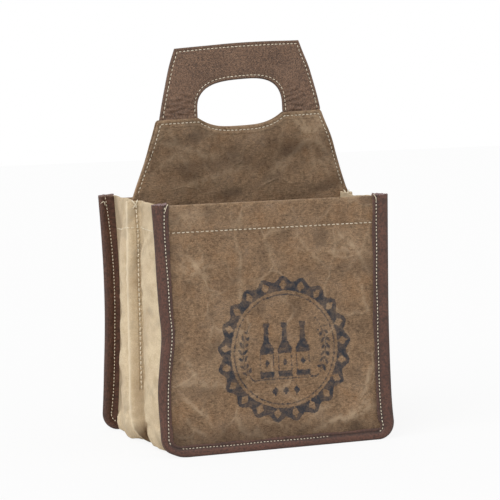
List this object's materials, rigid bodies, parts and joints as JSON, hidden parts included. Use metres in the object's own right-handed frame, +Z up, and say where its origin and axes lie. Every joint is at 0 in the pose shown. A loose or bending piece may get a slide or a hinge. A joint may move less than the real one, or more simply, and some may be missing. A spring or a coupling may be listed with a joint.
{
  "type": "bottle carrier",
  "caption": "Soft canvas bottle carrier with leather-bound panels, an inner divider and a cut-out leather handle that folds down to either side.",
  "frame": {"origin": "on the table, under the middle of the bag", "axes": "+X along the width, +Y from the front panel to the back panel, +Z up"},
  "size_m": [0.223, 0.1622, 0.3533],
  "materials": {
    "waxed_canvas": "waxed, satin",
    "gusset_canvas": "matte",
    "binding_leather": "satin",
    "grip_leather": "satin, grained",
    "thread": "matte"
  },
  "bodies": {
    "bag": {"front_panel": "waxed_canvas", "back_panel": "waxed_canvas", "gusset_left": "gusset_canvas", "gusset_right": "gusset_canvas", "gusset_base": "gusset_canvas", "front_binding": "binding_leather", "back_binding": "binding_leather", "divider_front_layer": "waxed_canvas", "divider_back_layer": "waxed_canvas", "divider_fold": "waxed_canvas", "front_binding_thread": "thread", "back_binding_thread": "thread", "front_hem_thread": "thread", "back_hem_thread": "thread", "left_gusset_hem_thread": "thread", "right_gusset_hem_thread": "thread", "left_tuck_thread": "thread", "right_tuck_thread": "thread"},
    "handle": {"handle_canvas_front": "waxed_canvas", "handle_canvas_back": "waxed_canvas", "handle_leather_front": "grip_leather", "handle_leather_back": "grip_leather", "handle_edge_thread": "thread", "hand_hole_thread": "thread", "canvas_edge_thread": "thread"}
  },
  "joints": [
    {"name": "handle_fold", "type": "hinge", "parent": "bag", "child": "handle", "pos_m": [0, 0, 0.21905], "axis": [1, 0, 0], "range_deg": [-85, 85], "deforming": ["divider_fold"]}
  ]
}
